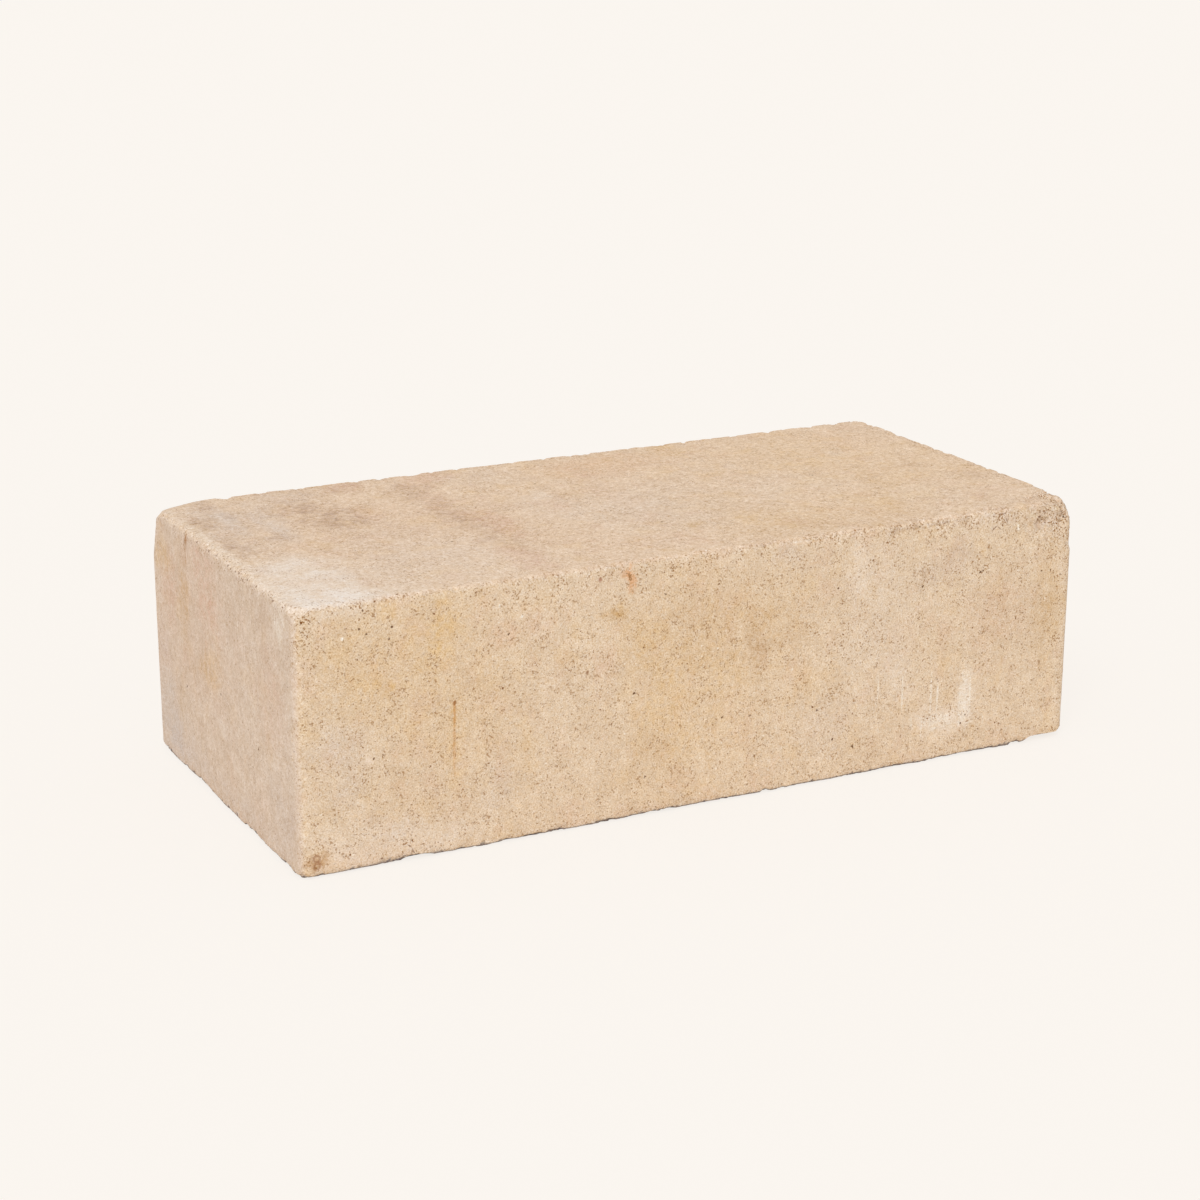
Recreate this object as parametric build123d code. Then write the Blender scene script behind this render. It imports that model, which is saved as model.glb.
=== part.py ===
from build123d import *
import os
from dataclasses import dataclass
from enum import Enum
from math import sqrt

# A solid buff stock brick, pressed in one piece, lying on its lower bed.
# The origin is the middle of the lower bed. +X runs along the front stretcher
# face to the right-hand header, +Y to the back stretcher face, and +Z up.
# Every size is in millimetres.

# Work size of the brick
LENGTH = 215.0
WIDTH = 102.5
HEIGHT = 65.0

# Rounding that the mould and handling leave on every arris
UPRIGHT_CORNER_RADIUS = 2.5
UPPER_ARRIS_RADIUS = 1.5
LOWER_ARRIS_RADIUS = 0.8

# How far a cutting tool reaches past the brick's faces
TOOL_OVERRUN = 6.0

# Gap between a worn corner's ball and the arris where the wear starts
BALL_CLEARANCE = 0.02


@dataclass(frozen=True)
class WornCorner:
    """A corner that handling has worn to part of a ball.

    Each side is +1 or -1, and z_side is +1 for a corner of the upper bed.
    reach is how far along its three arrises the wear goes from the corner.
    """

    x_side: int
    y_side: int
    z_side: int
    reach: float

    @property
    def ball_radius(self) -> float:
        """The ball that just clears the sharpest arris where the wear starts."""
        arris_radius = UPPER_ARRIS_RADIUS if self.z_side > 0 else LOWER_ARRIS_RADIUS
        to_sharp_arris = self.reach * sqrt(2)
        rounding = min(arris_radius, UPRIGHT_CORNER_RADIUS) * (sqrt(2) - 1)
        return to_sharp_arris - rounding + BALL_CLEARANCE


@dataclass(frozen=True)
class RubbedCorner:
    """A corner of the upper bed that is rubbed down to a slanting flat.

    along_stretcher, along_header and down are how far from the sharp corner the
    flat meets its three arrises.
    """

    x_side: int
    y_side: int
    along_stretcher: float
    along_header: float
    down: float


class Bite(Enum):
    """An arris, and the side that a flake broke away to.

    Its directions are the outward ones of the arris's two faces, the arris's own,
    starting at the end that chips are measured from, and the flake's.
    """

    LOWER_FRONT_FROM_BELOW = (Vector(0, -1, 0), Vector(0, 0, -1), Vector(-1, 0, 0), Vector(0, 0, -1))
    UPPER_RIGHT_FROM_OUTSIDE = (Vector(1, 0, 0), Vector(0, 0, 1), Vector(0, 1, 0), Vector(1, 0, 1))


@dataclass(frozen=True)
class Chip:
    """A flake gone from an arris: a round-ended scoop that lies along it.

    from_end is the way along the arris to the middle of the chip, from the
    right-hand or front end. depth is measured in from the sharp arris, against
    the way that the flake broke away.
    """

    bite: Bite
    from_end: float
    length: float
    scoop_radius: float
    depth: float


WORN_CORNERS = (
    WornCorner(x_side=-1, y_side=1, z_side=1, reach=11.0),
    WornCorner(x_side=1, y_side=-1, z_side=1, reach=9.0),
    WornCorner(x_side=1, y_side=1, z_side=1, reach=6.0),
    WornCorner(x_side=-1, y_side=-1, z_side=1, reach=5.0),
    WornCorner(x_side=-1, y_side=1, z_side=-1, reach=5.0),
    WornCorner(x_side=-1, y_side=-1, z_side=-1, reach=3.5),
    WornCorner(x_side=1, y_side=-1, z_side=-1, reach=6.0),
    WornCorner(x_side=1, y_side=1, z_side=-1, reach=4.0),
)

RUBBED_CORNERS = (
    RubbedCorner(x_side=-1, y_side=1, along_stretcher=17.0, along_header=10.0, down=2.1),
    RubbedCorner(x_side=-1, y_side=1, along_stretcher=3.3, along_header=6.4, down=18.8),
    RubbedCorner(x_side=1, y_side=-1, along_stretcher=12.0, along_header=14.0, down=2.0),
)

CHIPS = (
    Chip(Bite.LOWER_FRONT_FROM_BELOW, from_end=0.5, length=28.0, scoop_radius=5.0, depth=1.6),
    Chip(Bite.LOWER_FRONT_FROM_BELOW, from_end=185.5, length=11.0, scoop_radius=4.0, depth=1.0),
    Chip(Bite.LOWER_FRONT_FROM_BELOW, from_end=119.0, length=5.0, scoop_radius=3.5, depth=0.8),
    Chip(Bite.UPPER_RIGHT_FROM_OUTSIDE, from_end=15.0, length=9.0, scoop_radius=4.0, depth=1.5),
)


def pressed_block() -> Part:
    """The whole block as it leaves the press, with its arrises rounded."""
    plan = RectangleRounded(LENGTH, WIDTH, UPRIGHT_CORNER_RADIUS)
    block = extrude(plan, HEIGHT)
    block = fillet(block.faces().sort_by(Axis.Z)[-1].edges(), UPPER_ARRIS_RADIUS)
    return fillet(block.faces().sort_by(Axis.Z)[0].edges(), LOWER_ARRIS_RADIUS)


def corner_waste(corner: WornCorner) -> Part:
    """What is gone from a worn corner: the corner's cube less the ball."""
    centre = Vector(
        corner.x_side * (LENGTH / 2 - corner.reach),
        corner.y_side * (WIDTH / 2 - corner.reach),
        HEIGHT / 2 + corner.z_side * (HEIGHT / 2 - corner.reach),
    )
    side = corner.reach + TOOL_OVERRUN
    towards_corner = Vector(corner.x_side, corner.y_side, corner.z_side) * (side / 2)
    cube = Pos(centre + towards_corner) * Box(side, side, side)
    return cube - Pos(centre) * Sphere(corner.ball_radius)


def rubbed_waste(corner: RubbedCorner) -> Part:
    """What is gone from a rubbed corner: all that stands above its flat."""
    flat_end = Vector(
        corner.x_side * LENGTH / 2,
        corner.y_side * WIDTH / 2,
        HEIGHT - corner.down,
    )
    slope = Vector(
        corner.x_side / corner.along_stretcher,
        corner.y_side / corner.along_header,
        1 / corner.down,
    )
    flat = Plane(origin=flat_end, z_dir=slope.normalized())
    side = 2 * (max(corner.along_stretcher, corner.along_header, corner.down) + TOOL_OVERRUN)
    return flat * Box(side, side, TOOL_OVERRUN, align=(Align.CENTER, Align.CENTER, Align.MIN))


def scoop(length: float, radius: float) -> Part:
    """A round-ended scoop along +Z with its middle at the origin."""
    straight = length - 2 * radius
    ball = Sphere(radius)
    if straight <= 0:
        return ball
    upper = Pos(0, 0, straight / 2) * ball
    lower = Pos(0, 0, -straight / 2) * ball
    return Cylinder(radius, straight) + upper + lower


def chip_waste(chip: Chip) -> Part:
    """The scoop that takes a chip out of its arris, in place."""
    first_face, second_face, along, broke_away = chip.bite.value
    half_size = Vector(LENGTH / 2, WIDTH / 2, HEIGHT / 2)
    start = first_face + second_face - along
    end = Vector(
        start.X * half_size.X,
        start.Y * half_size.Y,
        half_size.Z + start.Z * half_size.Z,
    )
    outward = broke_away.normalized()
    middle = end + along * chip.from_end + outward * (chip.scoop_radius - chip.depth)
    place = Plane(origin=middle, z_dir=along)
    return place * scoop(chip.length, chip.scoop_radius)


def brick() -> Part:
    """The brick: the pressed block less its worn corners and its chips."""
    body = pressed_block()
    for corner in WORN_CORNERS:
        body -= corner_waste(corner)
    for corner in RUBBED_CORNERS:
        body -= rubbed_waste(corner)
    for chip in CHIPS:
        body -= chip_waste(chip)
    return body


os.makedirs("parts", exist_ok=True)
export_step(brick(), "parts/brick.step")
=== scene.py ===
"""Looks of the buff stock brick: its sandy skin, its marks and the studio it lies in."""

import logging
import math
from dataclasses import dataclass, field
from enum import Enum
from functools import cached_property
from itertools import product
from typing import Any, Sequence

import bmesh
import bpy
import numpy as np
from mathutils import Matrix, Vector
from mathutils.bvhtree import BVHTree


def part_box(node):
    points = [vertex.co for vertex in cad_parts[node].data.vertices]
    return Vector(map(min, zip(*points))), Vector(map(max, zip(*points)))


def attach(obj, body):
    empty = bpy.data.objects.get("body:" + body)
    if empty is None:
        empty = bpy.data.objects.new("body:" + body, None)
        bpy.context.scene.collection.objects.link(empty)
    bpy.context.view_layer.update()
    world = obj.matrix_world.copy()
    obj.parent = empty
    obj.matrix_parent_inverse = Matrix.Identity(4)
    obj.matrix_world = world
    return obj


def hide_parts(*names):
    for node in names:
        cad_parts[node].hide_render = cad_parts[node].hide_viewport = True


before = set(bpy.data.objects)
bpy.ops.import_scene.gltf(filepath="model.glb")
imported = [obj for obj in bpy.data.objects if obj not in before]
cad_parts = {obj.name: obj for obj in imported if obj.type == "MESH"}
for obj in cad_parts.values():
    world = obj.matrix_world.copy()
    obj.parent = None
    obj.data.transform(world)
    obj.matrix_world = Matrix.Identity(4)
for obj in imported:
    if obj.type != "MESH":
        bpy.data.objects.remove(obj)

log = logging.getLogger("brick")
MM = 0.001
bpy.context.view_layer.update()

Pair = tuple[float, float]
Triple = tuple[float, float, float]
Paint = tuple[float, float, float, float]
Socket = bpy.types.NodeSocket


def paint(red: int, green: int, blue: int) -> Paint:
    """Turns a colour as it is given, 0 to 255, into the linear one that a shader takes.

    Args:
        red: Red, 0 to 255.
        green: Green, 0 to 255.
        blue: Blue, 0 to 255.

    Returns:
        The linear colour, with an alpha of 1.
    """
    linear = []
    for level in (red, green, blue):
        share = level / 255
        linear.append(share / 12.92 if share <= 0.04045 else ((share + 0.055) / 1.055) ** 2.4)
    return (linear[0], linear[1], linear[2], 1.0)


def smooth_step(values: np.ndarray) -> np.ndarray:
    """Eases values from 0 to 1, flat at both ends."""
    clipped = np.clip(values, 0.0, 1.0)
    return clipped * clipped * (3.0 - 2.0 * clipped)


def in_metres(values: Triple) -> Triple:
    """Turns three lengths from millimetres into metres."""
    return (values[0] * MM, values[1] * MM, values[2] * MM)


def read_rows(items: Any, name: str) -> np.ndarray:
    """Reads one vector of every item of a mesh.

    Args:
        items: The mesh's vertices or normals.
        name: The vector's name.

    Returns:
        The vectors, one row each.
    """
    values = np.empty(len(items) * 3)
    items.foreach_get(name, values)
    return values.reshape(-1, 3)


@dataclass(frozen=True)
class Block:
    """The brick's box, as its lowest and its highest corner in metres."""

    low: np.ndarray
    high: np.ndarray


class Face(Enum):
    """A face of the brick, as the axis it looks along and which way."""

    LEFT_HEADER = (0, -1)
    RIGHT_HEADER = (0, 1)
    FRONT_STRETCHER = (1, -1)
    BACK_STRETCHER = (1, 1)
    LOWER_BED = (2, -1)
    UPPER_BED = (2, 1)

    @property
    def axis(self) -> int:
        """The axis that the face looks along: 0, 1 or 2 for X, Y or Z."""
        return self.value[0]

    @property
    def way(self) -> int:
        """Which way the face looks along its axis: 1 or -1."""
        return self.value[1]

    @property
    def across(self) -> tuple[int, int]:
        """The two axes that lie in the face, in the order in which marks are placed."""
        return {0: (1, 2), 1: (0, 2), 2: (0, 1)}[self.axis]

    def spread(self, across: tuple[Any, Any], along: Any) -> tuple[Any, Any, Any]:
        """Puts three values on the brick's axes.

        Args:
            across: The values on the two axes that lie in the face.
            along: The value on the axis that the face looks along.

        Returns:
            The values on X, Y and Z.
        """
        values = dict(zip(self.across, across))
        values[self.axis] = along
        return (values[0], values[1], values[2])

    def depth_of(self, points: np.ndarray, block: Block) -> np.ndarray:
        """How far points lie in from the face.

        Args:
            points: Places in metres, one row each.
            block: The brick's box.

        Returns:
            The depth of each point below the face's plane, in metres.
        """
        if self.way > 0:
            return block.high[self.axis] - points[:, self.axis]
        return points[:, self.axis] - block.low[self.axis]


FRONT, LEFT, TOP = Face.FRONT_STRETCHER, Face.LEFT_HEADER, Face.UPPER_BED
BACK, RIGHT, LOWER = Face.BACK_STRETCHER, Face.RIGHT_HEADER, Face.LOWER_BED

# Where marks lie on the axis that their face looks along, in millimetres
MARK_PLANES = {FRONT: -51.2, LEFT: -107.4, TOP: 64.9}


class Tint(Enum):
    """What discolours a patch of the clay. The value names the mesh's attribute."""

    OCHRE = "ochre"
    UMBER = "umber"
    SOOT = "soot"
    CHALK = "chalk"
    CREAM = "cream"
    ROSE = "rose"
    SLATE = "slate"
    PITTED = "pitted"


@dataclass(frozen=True)
class Waves:
    """Gentle random waves of one kind, whose values stray from mean by about height.

    size is the widest waves' in millimetres, and layers how many sizes there are, each
    half as wide and half as strong as the last. shift moves them away from other waves.
    """

    size: float
    layers: int = 1
    shift: float = 0.0
    mean: float = 0.0
    height: float = 1.0


class Grain:
    """Smooth random values in space, the same on every run.

    rows is the length of the tables of random values, layer_shift how far the sizes of
    waves are moved apart, wave_gain what brings waves to about 1, and grain_radius a
    round grain's radius in spacings.
    """

    rows: int = 256
    layer_shift: float = 17.3
    wave_gain: float = 1.6
    grain_radius: float = 0.8

    def __init__(self, seed: int) -> None:
        """Draws the tables of slopes and places.

        Args:
            seed: The number that the random values start from.
        """
        source = np.random.default_rng(seed)
        self._order = source.permutation(self.rows)
        slopes = source.normal(size=(self.rows, 3))
        self._slopes = slopes / np.linalg.norm(slopes, axis=1)[:, None]
        self._places = source.random((self.rows, 3))

    def _pick(self, cells: np.ndarray) -> np.ndarray:
        """Picks a row of the tables for each cell of space.

        Args:
            cells: The cells' whole-number places, one row each.

        Returns:
            The number of each cell's row.
        """
        row = self._order[cells[:, 0] % self.rows]
        row = self._order[(row + cells[:, 1]) % self.rows]
        return self._order[(row + cells[:, 2]) % self.rows]

    def waves(self, points: np.ndarray, kind: Waves) -> np.ndarray:
        """Gentle waves in space.

        Args:
            points: Places in metres, one row each.
            kind: The waves' sizes and heights.

        Returns:
            A value for each point.
        """
        total = np.zeros(len(points))
        for layer in range(kind.layers):
            share_of_size = 0.5**layer
            scaled = (points + kind.shift) / (kind.size * MM * share_of_size) + self.layer_shift * layer
            cell = np.floor(scaled).astype(np.int64)
            inside = scaled - cell
            ease = inside**3 * (inside * (inside * 6 - 15) + 10)
            for corner in product((0, 1), repeat=3):
                step = np.array(corner)
                slope = self._slopes[self._pick(cell + step)]
                share = np.prod(np.where(step == 1, ease, 1 - ease), axis=1)
                total += share_of_size * self.wave_gain * share * ((inside - step) * slope).sum(axis=1)
        return kind.mean + kind.height * total

    def grains(self, points: np.ndarray, size: float) -> tuple[np.ndarray, np.ndarray]:
        """Round grains packed in space.

        Args:
            points: Places in metres, one row each.
            size: The grains' mean spacing in millimetres.

        Returns:
            How high each point lies on its grain, 0 to 1, and that grain's own random
            number, 0 to 1.
        """
        scaled = points / (size * MM)
        cell = np.floor(scaled).astype(np.int64)
        nearest = np.full(len(points), np.inf)
        name = np.zeros(len(points))
        for corner in product((-1, 0, 1), repeat=3):
            at = cell + np.array(corner)
            row = self._pick(at)
            gap = np.linalg.norm(at + self._places[row] - scaled, axis=1)
            name = np.where(gap < nearest, row / (self.rows - 1), name)
            nearest = np.minimum(gap, nearest)
        return np.clip(1 - nearest / self.grain_radius, 0, 1), name


@dataclass(frozen=True)
class Patch:
    """A soft patch on one face, in millimetres along the face's two axes.

    It discolours the clay or, where its tint is PITTED, opens it with more pits. ruffle
    is how far its rim strays in shares of its smaller radius, rim_reach the most that the
    rim can reach in radii, and least_facing how far the surface must look the face's way.
    """

    face: Face
    tint: Tint
    centre: Pair
    radii: Pair
    strength: float
    ruffle: float = 0.55
    rim_reach: float = 2.4
    least_facing: float = 0.3
    clumps: Waves = Waves(5.0, 2, shift=0.7, mean=1.0, height=0.5)

    def share(self, points: np.ndarray, facing: np.ndarray, grain: Grain) -> np.ndarray:
        """How strongly the patch shows.

        Args:
            points: Places in metres, one row each.
            facing: The surface's outward direction at each.
            grain: The random values that ruffle its rim.

        Returns:
            The patch's strength at each point.
        """
        towards = facing[:, self.face.axis] * self.face.way
        near = towards > self.least_facing
        offsets = [points[:, axis] / MM - middle for axis, middle in zip(self.face.across, self.centre)]
        for offset, radius in zip(offsets, self.radii):
            near &= np.abs(offset) < self.rim_reach * radius
        size = min(self.radii)
        away = np.zeros(int(near.sum()))
        for side, offset in enumerate(offsets):
            shift = 0.011 * self.centre[side] + side
            rim = Waves(max(1.4 * size, 3.0), 3, shift, height=self.ruffle * size)
            away += ((offset[near] + grain.waves(points[near], rim)) / self.radii[side]) ** 2
        clumps = grain.waves(points[near], self.clumps).clip(0.1, 2.0)
        spread = smooth_step((1.5 - np.sqrt(away)) / 1.2)
        total = np.zeros(len(points))
        total[near] = self.strength * smooth_step(towards[near] * 2 - 0.6) * spread * clumps
        return total


@dataclass(frozen=True)
class Crumble:
    """How an arris has crumbled.

    reach is how far the loss goes in from the arris, loss the most that coarse waves
    take off, nibble the most that single bites take, and grain the height of the sand
    grains that it lays bare. All are in millimetres.
    """

    reach: float
    loss: float
    nibble: float
    grain: float


@dataclass(frozen=True)
class Arris:
    """An arris between two faces, and how it has crumbled. paleness is how far it is rubbed pale."""

    first: Face
    second: Face
    crumble: Crumble
    paleness: float = 0.0

    def nearness(self, points: np.ndarray, block: Block, wander: np.ndarray) -> np.ndarray:
        """How near points are to the arris.

        Args:
            points: Places in metres, one row each.
            block: The brick's box.
            wander: How far each point's share of the reach strays, about 1.

        Returns:
            0 at the crumble's reach and beyond, rising to 1 on the arris.
        """
        deeper = np.maximum(self.first.depth_of(points, block), self.second.depth_of(points, block))
        return smooth_step(1 - deeper / MM / (self.crumble.reach * wander))


@dataclass(frozen=True)
class RoughPlace:
    """A place where the skin has crumbled away, as an ellipsoid in millimetres.

    steepness is how much sooner than at its middle the wear is full.
    """

    centre: Triple
    radii: Triple
    crumble: Crumble
    paleness: float = 0.0
    steepness: float = 1.6

    def nearness(self, points: np.ndarray, block: Block, wander: np.ndarray) -> np.ndarray:
        """How near points are to the middle of the place.

        Args:
            points: Places in metres, one row each.
            block: The brick's box, which makes no difference here.
            wander: How far each point's share of the reach strays, about 1.

        Returns:
            0 at the ellipsoid and outside it, rising to 1 at its middle.
        """
        offset = (points / MM - np.array(self.centre)) / np.array(self.radii)
        return smooth_step((1 - np.linalg.norm(offset, axis=1) / wander) * self.steepness)


@dataclass
class BrickSkin:
    """The brick's outer surface, laid over the solid as a fine net and given its relief.

    wide_mesh is the net's spacing on open faces in millimetres. It is halved within each
    reach of halvings from an arris, and in rough places. sag and ripple are the faces'
    unevenness, wander, loss and bites the waves that shape the wear, grain_size the bared
    grains' spacing, and full_grit the grain height at which bare sand shows in full.
    foot_shadow and foot_shadow_beads are how far up the painted contact shadow along the
    foot reaches, and foot_shadow_fade how soft its rim is.
    """

    node: str = "brick"
    slot: str = "fired_clay"
    wide_mesh: float = 1.76
    halvings: Sequence[float] = (6.0, 2.7)
    seed: int = 41
    sag: Waves = Waves(34.0, mean=0.04, height=0.05)
    ripple: Waves = Waves(4.2, 2, shift=0.9, mean=0.02, height=0.03)
    wander: Waves = Waves(7.0, 2, shift=0.4, mean=1.0, height=0.45)
    loss: Waves = Waves(11.0, 2, shift=0.2, mean=0.5, height=0.7)
    bites: Waves = Waves(3.6, 3, shift=0.7, mean=-0.22, height=2.2)
    grain_size: float = 1.1
    full_grit: float = 0.24
    foot_shadow: Waves = Waves(19.0, 2, shift=0.6, mean=0.9, height=0.36)
    foot_shadow_beads: Waves = Waves(2.2, 2, shift=0.3, mean=-0.35, height=1.4)
    foot_shadow_fade: float = 0.4
    worn_places: Sequence[Arris | RoughPlace] = ()
    patches: Sequence[Patch] = ()
    block: Block = field(init=False)
    grain: Grain = field(init=False)

    def __post_init__(self) -> None:
        """Takes the brick's box from its solid, and draws the random values."""
        self.block = Block(*(np.array(corner, float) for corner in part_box(self.node)))
        self.grain = Grain(self.seed)

    def wide_net(self, builder: bmesh.types.BMesh) -> None:
        """Covers the brick's box with even squares.

        Args:
            builder: The mesh that gets them.
        """
        size = self.block.high - self.block.low
        counts = np.ceil(size / (self.wide_mesh * MM)).astype(int)
        corners: dict[tuple[int, int, int], bmesh.types.BMVert] = {}
        for face in Face:
            first, second = face.across
            side = 0 if face.way < 0 else counts[face.axis]
            ring = [(0, 0), (1, 0), (1, 1), (0, 1)]
            if (face.way > 0) != (face.axis != 1):
                ring.reverse()
            for a, b in product(range(counts[first]), range(counts[second])):
                square = []
                for step_a, step_b in ring:
                    steps = face.spread((a + step_a, b + step_b), side)
                    if steps not in corners:
                        corners[steps] = builder.verts.new(self.block.low + size * steps / counts)
                    square.append(corners[steps])
                builder.faces.new(square)

    def net(self) -> bpy.types.Mesh:
        """Makes the net on the brick's box, finer towards the arrises.

        Returns:
            The net as a mesh.
        """
        builder = bmesh.new()
        self.wide_net(builder)
        for reach in self.halvings:
            edges = list(builder.edges)
            middles = np.array([(edge.verts[0].co + edge.verts[1].co) / 2 for edge in edges])
            to_sides = np.sort(np.minimum(middles - self.block.low, self.block.high - middles), axis=1)
            near = to_sides[:, 1] < reach * MM
            for place in self.worn_places:
                if isinstance(place, RoughPlace):
                    near |= place.nearness(middles, self.block, np.ones(len(middles))) > 0
            chosen = [edge for edge, is_near in zip(edges, near) if is_near]
            bmesh.ops.subdivide_edges(builder, edges=chosen, cuts=1, use_grid_fill=True)
        mesh = bpy.data.meshes.new("brick_skin")
        builder.to_mesh(mesh)
        builder.free()
        return mesh

    def lay_on_solid(self, points: np.ndarray) -> np.ndarray:
        """Moves the net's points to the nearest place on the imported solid.

        Args:
            points: The net's points on the box, in metres.

        Returns:
            The points on the solid's own surface, in metres.
        """
        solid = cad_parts[self.node].data
        corners = [vertex.co for vertex in solid.vertices]
        tree = BVHTree.FromPolygons(corners, [tuple(polygon.vertices) for polygon in solid.polygons])
        return np.array([tree.find_nearest(Vector(point))[0] for point in points])

    def relief(self, points: np.ndarray) -> tuple[np.ndarray, dict[str, np.ndarray]]:
        """How deep the real surface lies below the ideal one.

        Args:
            points: The net's points on the ideal surface, in metres.

        Returns:
            The depth at each point in metres, never less than 0, and the maps of how
            rough, how pale and how hollow the wear has left each point, all 0 to 1.
        """
        depth = self.grain.waves(points, self.sag) + self.grain.waves(points, self.ripple)
        wander = self.grain.waves(points, self.wander)
        long_waves = self.grain.waves(points, self.loss).clip(0, 1)
        bites = self.grain.waves(points, self.bites).clip(0)
        height, name = self.grain.grains(points, self.grain_size)
        bare = 1 - height * (0.5 + 0.5 * name)
        holes = smooth_step((bare - 0.55) / 0.35) * (0.25 + 0.75 * long_waves)
        maps = {key: np.zeros(len(points)) for key in ("rough", "pale", "hollow")}
        for place in self.worn_places:
            near = place.nearness(points, self.block, wander)
            crumble = place.crumble
            lost = crumble.loss * long_waves + crumble.nibble * bites + crumble.grain * bare
            depth = np.maximum(depth, depth * (1 - near) + near * lost)
            rough = near * min(1.0, crumble.grain / self.full_grit)
            # The hollow map marks the crevices between bared grains, which the material darkens with partly
            # painted shade.
            for key, values in (("rough", rough), ("pale", near * place.paleness), ("hollow", rough * holes)):
                maps[key] = np.maximum(maps[key], values)
        return np.maximum(depth, 0) * MM, maps

    def tints(self, points: np.ndarray, facing: np.ndarray) -> dict[str, np.ndarray]:
        """Where each tint shows, where the beds and headers lie, and where the contact shadow is painted
        along the foot.

        Args:
            points: The net's points on the ideal surface, in metres.
            facing: The surface's outward direction at each.

        Returns:
            The maps by the names of their attributes, all 0 to 1.
        """
        maps = {}
        for tint in Tint:
            shares = [patch.share(points, facing, self.grain) for patch in self.patches if patch.tint is tint]
            maps[tint.value] = np.clip(np.sum(shares, axis=0), 0, 1)
        for name, axis in (("bed", TOP.axis), ("header", LEFT.axis)):
            maps[name] = smooth_step(np.abs(facing[:, axis]) * 2 - 0.75)
        # Painted contact shadow: a dark line along the foot, wavy and beaded, where the brick meets the
        # floor.
        foot_shadow_line = self.grain.waves(points, self.foot_shadow) + self.grain.waves(points, self.foot_shadow_beads).clip(0)
        maps["foot_shadow"] = smooth_step((foot_shadow_line - LOWER.depth_of(points, self.block) / MM) / self.foot_shadow_fade)
        return maps

    def build(self, finish: "FiredClay") -> bpy.types.Object:
        """Builds the skin and dresses it.

        Args:
            finish: The clay's finish.

        Returns:
            The skin, riding on the brick's body in place of its solid.
        """
        mesh = self.net()
        on_box = read_rows(mesh.vertices, "co")
        ideal = self.lay_on_solid(on_box)
        mesh.vertices.foreach_set("co", ideal.ravel())
        mesh.update()
        # A trace of the mesh's own normal serves where the solid touches its box.
        trace = 0.02 * MM
        facing = read_rows(mesh.vertex_normals, "vector") * trace + on_box - ideal
        facing /= np.linalg.norm(facing, axis=1)[:, None]
        depth, maps = self.relief(ideal)
        worn = np.clip(ideal - facing * depth[:, None], self.block.low, self.block.high)
        mesh.vertices.foreach_set("co", worn.ravel())
        mesh.polygons.foreach_set("use_smooth", [True] * len(mesh.polygons))
        mesh.update()
        maps.update(self.tints(ideal, facing))
        for name, values in maps.items():
            layer = mesh.attributes.new(name, "FLOAT", "POINT")
            layer.data.foreach_set("value", values.astype(np.float32))
        skin = bpy.data.objects.new("brick_skin", mesh)
        bpy.context.scene.collection.objects.link(skin)
        mesh.materials.append(finish.material())
        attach(skin, "root")
        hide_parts(self.node)
        triangles = sum(len(polygon.vertices) - 2 for polygon in mesh.polygons)
        log.info("%s: %d triangles", skin.name, triangles)
        return skin


@dataclass(frozen=True)
class Noise:
    """Cloudy noise about 0.5.

    size is the widest clouds' in millimetres, layers how many finer sizes are added, and
    roughness how strong each is against the last. stretch scales the three axes, shift
    moves the noise away from others, and weight is how far it swings where it is added.
    """

    size: float
    layers: float
    roughness: float = 0.5
    stretch: Triple = (1.0, 1.0, 1.0)
    shift: float = 0.0
    weight: float = 1.0


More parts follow.
